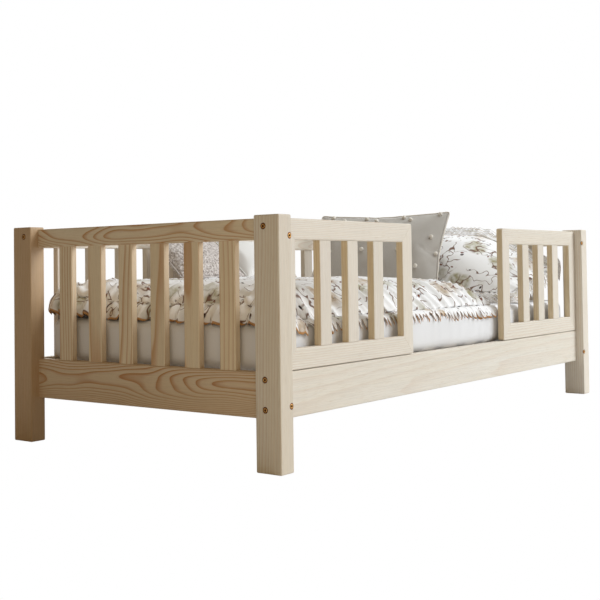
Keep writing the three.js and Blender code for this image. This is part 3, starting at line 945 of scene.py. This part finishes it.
def duvet_seam(room_x, y):
    """The height of the duvet's seam: it rises at the foot end, sinks along the near side, and is
    rucked up at the far corner."""
    foot = smoothstep(-room_x, 0.66, 0.775)
    ruck = math.exp(-((room_x - 0.285) / 0.055) ** 2 - ((y - 0.375) / 0.07) ** 2)
    ripple = 0.004 * wobble(room_x * 5, y * 5, 2.2)
    far = smoothstep(y, 0.10, 0.34)
    near = smoothstep(-y, 0.24, 0.36) * (1 - foot)
    return DUVET["seam"] + foot * (0.026 + 0.020 * far) - 0.014 * near + 0.085 * ruck + ripple


def duvet_folds(x, y):
    half_length, half_width = DUVET["length"] / 2, DUVET["width"] / 2
    return gathers(x, y, half_length, half_width, tall=0.0095, reach=0.24, wave=0.038, seed=21)


def duvet_place(x, y, height):
    """From the duvet's flat frame to the room: laid flat on the mattress, lumpy on top."""
    room_x = x + DUVET["middle_x"]
    seam = duvet_seam(room_x, y)
    share = height / DUVET["half"]
    if share < 0:
        return room_x, y, max(seam - (seam - MATTRESS_TOP) * dome(-share), MATTRESS_TOP)
    # the sides are steeper at the foot end, along the far side, and at the near head corner
    crisp = 2.4 + 3.2 * smoothstep(-room_x, 0.45, 0.74) + 5.0 * smoothstep(y, 0.08, 0.26)
    crisp += 1.6 * smoothstep(-y, 0.1, 0.3) * smoothstep(room_x, -0.1, 0.15)
    lumps = wobble(room_x * 3.3, y * 3.3, 7.7) * 0.009 + wobble(room_x * 8.5, y * 8.5, 1.7) * 0.004
    top = DUVET["seam"] + DUVET["loft"] + lumps
    return room_x, y, max(seam + (top - seam) * dome(share, crisp) + duvet_folds(x, y), MATTRESS_TOP)


def keep_off_mattress(spot):
    """Lifts a point of cloth out of the mattress, whose top edges are round."""
    inset = min(SHEET_HALF_X - abs(spot.x), SHEET_HALF_Y - abs(spot.y))
    if inset > 0:
        over_edge = max(0, MATTRESS_EDGE - inset)
        drop = MATTRESS_EDGE - math.sqrt(MATTRESS_EDGE ** 2 - over_edge ** 2)
        spot.z = max(spot.z, MATTRESS_TOP - drop + 0.001)
    return spot


def duvet_frill_place(spot, outwards, reach, height):
    """A point of the duvet's frill, which turns down over the mattress's edge inside the bed's sides."""
    depth = DUVET["frill"]
    along = reach / depth
    foot = smoothstep(-(spot.x + DUVET["middle_x"]), 0.44, 0.52)
    out = depth * 0.46 * math.sin(along * 1.4)
    down = depth * (0.35 * along + 0.52 * along ** 2)
    # the waves swing out and up, and the root is buried in the seam
    out += height * (0.45 + 0.4 * along) - 0.008 * (1 - along) ** 4
    room = spot + outwards * out
    room.x += DUVET["middle_x"]
    room.z = duvet_seam(room.x, room.y) - down + height * (0.3 + 0.35 * foot)
    room.z += duvet_folds(spot.x, spot.y) * (1 - along)
    room.x = max(room.x, WELL_FOOT)
    opening = smoothstep(ENTRY_HALF - abs(room.x), 0.0, 0.05)
    room.y = min(max(room.y, WELL_FRONT - 0.024 * opening), WELL_BACK)
    return keep_off_mattress(room)


def duvet_frill_folds(spot):
    """The frill is short along the near side, with small tight waves, and deep and loose at the foot end."""
    foot = smoothstep(-(spot.x + DUVET["middle_x"]), 0.60, 0.74)
    near = smoothstep(-spot.y, 0.24, 0.36)
    return 0.021 + 0.022 * foot, 0.0078 + 0.003 * foot, 1 - 0.12 * near * (1 - foot)


def make_duvet(printed):
    length, width = DUVET["length"], DUVET["width"]
    obj, seam = flat_cover("duvet_cover", length * DUVET["cut"], width * DUVET["cut"], DUVET["cell"])
    empty = fill(obj, bending=0.04)
    fit_cover(obj, empty, length, width, 2 * DUVET["half"], pull=0.0, keep=0.2)
    apply_modifier(obj, divide(obj))
    spots = obj.data.vertices
    line = [Vector((spots[k].co.x, spots[k].co.y, 0)) for k in seam]
    for v in spots:
        v.co = Vector(duvet_place(*v.co))
    cloth_piece(obj, "duvet", printed)
    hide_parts("duvet")
    hemmed = sprig_print("sprig_muslin_hemmed", hem=True)
    add_frill("duvet", line, DUVET["frill"], duvet_frill_place, duvet_frill_folds, 3, hemmed)


# ---- pillow

PILLOW = {"width": 0.570, "height": 0.350, "thickness": 0.117, "seam_x": 0.448, "seam_z": 0.353,
          "middle_y": -0.075, "tilt": math.radians(36.5), "near_tilt": math.radians(13),
          "frill": 0.046}
# the cell of a pillow's or cushion's cloth, and how much bigger it is cut than it ends up
CELL = 0.0105
CUT = 1.06


def pillow_place(x, y, height):
    """From the pillow's flat frame to the room: tilted up at the head panel, its near end slid flat."""
    up = x + PILLOW["height"] / 2
    room_y = y + PILLOW["middle_y"]
    slid = smoothstep(-room_y, 0.07, 0.36)
    tilt = PILLOW["tilt"] + (PILLOW["near_tilt"] - PILLOW["tilt"]) * slid
    room_x = PILLOW["seam_x"] + up * math.cos(tilt) - height * math.sin(tilt)
    room_z = PILLOW["seam_z"] + up * math.sin(tilt) + height * math.cos(tilt)
    over = max(0, room_x - (WELL_HEAD - 0.012))
    room_x -= over
    room_z += over * 0.7
    room_y = min(max(room_y, WELL_FRONT), WELL_BACK)
    return room_x, room_y, max(room_z, MATTRESS_TOP + 0.001)


def pillow_frill_place(spot, outwards, reach, height):
    """The pillow's frill stands at the top edge, and hangs down to the mattress at the others."""
    hangs = smoothstep(-outwards.x - 0.8 * outwards.y, -0.4, 0.4)
    along = reach / PILLOW["frill"]
    out = spot + outwards * reach * (1 - 0.5 * hangs * along)
    room_x, room_y, room_z = pillow_place(out.x, out.y, spot.z + height * (0.45 + 0.75 * hangs))
    return room_x, room_y, max(room_z - 0.8 * hangs * reach * along ** 0.5, MATTRESS_TOP + 0.001)


def pillow_frill_folds(spot):
    """The pillow's frill is the same all round, so the spot makes no difference."""
    return 0.026, 0.0075, 1.0


def make_pillow(printed):
    height, width = PILLOW["height"], PILLOW["width"]
    obj, seam = flat_cover("pillow_cover", height * CUT, width * CUT, CELL)
    empty = fill(obj)
    fit_cover(obj, empty, height, width, PILLOW["thickness"], pull=0.03)
    spots = obj.data.vertices
    line = [spots[k].co.copy() for k in seam]
    for v in spots:
        folds = gathers(v.co.x, v.co.y, height / 2, width / 2, tall=0.0036, reach=0.12, wave=0.028, seed=44)
        v.co = Vector(pillow_place(v.co.x, v.co.y, v.co.z + folds * (1 if v.co.z > 0 else -1)))
    divide(obj)
    cloth_piece(obj, "pillow", printed)
    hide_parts("pillow")
    add_frill("pillow", line, PILLOW["frill"], pillow_frill_place, pillow_frill_folds, 11, printed)


# ---- cushions

PIPING_RADIUS = 0.0023
PIPING_SIDES = 8
PIPING_STEP = 0.004
POMPOM_RADIUS = 0.0068
POMPOM_SPACING = 0.128
POMPOM_MARGIN = 0.02
POMPOM_OFF = 0.004
# for each row, its distance below the top edge and its first ball's distance from the near edge
POMPOM_ROWS = [(0.008, 0.031), (0.036, 0.127), (0.114, 0.042), (0.165, 0.022), (0.225, 0.085), (0.285, 0.030)]


def cushion_matrix(centre, lean, turn):
    """A cushion's flat frame is put upright on its long edge, leaned back and turned."""
    upright = Matrix(((0, 0, -1, 0), (0, 1, 0, 0), (1, 0, 0, 0), (0, 0, 0, 1)))
    lean_back = Matrix.Rotation(math.radians(lean), 4, "Y")
    heading = Matrix.Rotation(math.radians(turn), 4, "Z")
    return Matrix.Translation(centre) @ heading @ lean_back @ upright


def tube(name, line, radius):
    """A closed round cord along the line."""
    mesh = bmesh.new()
    rings = []
    count = len(line)
    for k, point in enumerate(line):
        tangent = (line[(k + 1) % count] - line[k - 1]).normalized()
        across = tangent.cross(Vector((0, 0, 1))).normalized()
        above = tangent.cross(across)
        ring = []
        for turn in range(PIPING_SIDES):
            angle = 2 * math.pi * turn / PIPING_SIDES
            offset = across * radius * math.cos(angle) + above * radius * math.sin(angle)
            ring.append(mesh.verts.new(point + offset))
        rings.append(ring)
    for k in range(count):
        after = rings[(k + 1) % count]
        for turn in range(PIPING_SIDES):
            more = (turn + 1) % PIPING_SIDES
            mesh.faces.new((rings[k][turn], rings[k][more], after[more], after[turn])).smooth = True
    return mesh_data(name, mesh)


def make_cushion(body, size, place, material, piping):
    """A stuffed cushion with piping on its seam. size is its height, width and thickness.

    Gives the cover, and the places its points had in its flat frame."""
    height, width, thickness = size
    obj, seam = flat_cover(f"{body}_cover", height * CUT, width * CUT, CELL)
    empty = fill(obj)
    fit_cover(obj, empty, height, width, thickness, pull=0.045)
    points = [v.co.copy() for v in obj.data.vertices]
    line = even_loop([points[k] for k in seam], PIPING_STEP, passes=1)
    obj.data.transform(place)
    divide(obj)
    cloth_piece(obj, body, material)
    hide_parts(body)
    cord = tube(f"{body}_piping", line, PIPING_RADIUS)
    cord.transform(place)
    cord.materials.append(piping)
    add_piece(f"{body}_piping", cord, body)
    return obj, points


def add_pompoms(height, width, place, points, material):
    """Little wool balls sewn on in staggered rows."""
    pick = random.Random(5)
    mesh = bmesh.new()
    front = [p for p in points if p.z >= 0]
    for below_top, from_near in POMPOM_ROWS:
        while from_near < width - POMPOM_MARGIN:
            x, y = height / 2 - below_top, from_near - width / 2
            nearest = min(front, key=lambda p: (p.x - x) ** 2 + (p.y - y) ** 2)
            at = nearest + Vector((0, 0, POMPOM_OFF))
            ball = bmesh.ops.create_icosphere(mesh, subdivisions=4, radius=POMPOM_RADIUS)["verts"]
            shift = Vector((pick.random() * 50, pick.random() * 50, 0))
            for v in ball:
                tuft = noise.noise(v.co * 750 + shift) * 0.13 + noise.noise(v.co * 1900 + shift) * 0.08
                v.co = place @ (at + v.co * (1 + tuft))
            from_near += POMPOM_SPACING * pick.uniform(0.97, 1.04)
    for face in mesh.faces:
        face.smooth = True
    data = mesh_data("pompoms", mesh)
    data.materials.append(material)
    add_piece("pompoms", data, "pompom_cushion")


def curl_surface(obj, size, strength):
    """Raises real loops on a boucle cover."""
    divide(obj)
    texture = bpy.data.textures.new("curls", "CLOUDS")
    texture.noise_scale = size
    texture.noise_depth = 1
    bumps = obj.modifiers.new("curls", "DISPLACE")
    bumps.texture = texture
    bumps.texture_coords = "LOCAL"
    bumps.strength = strength
    bumps.mid_level = 0.5


def make_cushions():
    cream = wool("cream_wool", srgb(238, 232, 222))
    height, width, thickness = 0.325, 0.480, 0.092
    place = cushion_matrix(Vector((0.422, 0.133, 0.486)), lean=29, turn=12)
    _, points = make_cushion("pompom_cushion", (height, width, thickness), place,
                             knit("grey_knit"), cream)
    add_pompoms(height, width, place, points, cream)
    looped = boucle("boucle_yarn")
    place = cushion_matrix(Vector((-0.290, 0.306, 0.473)), lean=50, turn=90)
    obj, _ = make_cushion("boucle_cushion", (0.180, 0.280, 0.084), place,
                          looped, looped)
    curl_surface(obj, size=0.007, strength=0.007)
    plain = cotton("white_linen", (0.82, 0.81, 0.79))
    place = cushion_matrix(Vector((-0.022, 0.306, 0.473)), lean=50, turn=90)
    make_cushion("white_cushion", (0.180, 0.240, 0.084), place, plain, plain)


# ---- floor


def make_floor():
    bpy.ops.mesh.primitive_plane_add(size=40, location=(0, 0, 0))
    floor = bpy.context.object
    floor.name = "floor"
    material, _, shader = surface("pale_floor")
    shader.inputs["Base Color"].default_value = (0.86, 0.86, 0.86, 1)
    shader.inputs["Roughness"].default_value = 0.9
    shader.inputs["Specular IOR Level"].default_value = 0.1
    floor.data.materials.append(material)
    floor.visible_camera = False


# ---- the scene

make_camera()
make_light()
make_floor()
make_mattress()
muslin = sprig_print("sprig_muslin")
make_duvet(muslin)
make_pillow(muslin)
make_cushions()
dress_wood()
add_bolts()
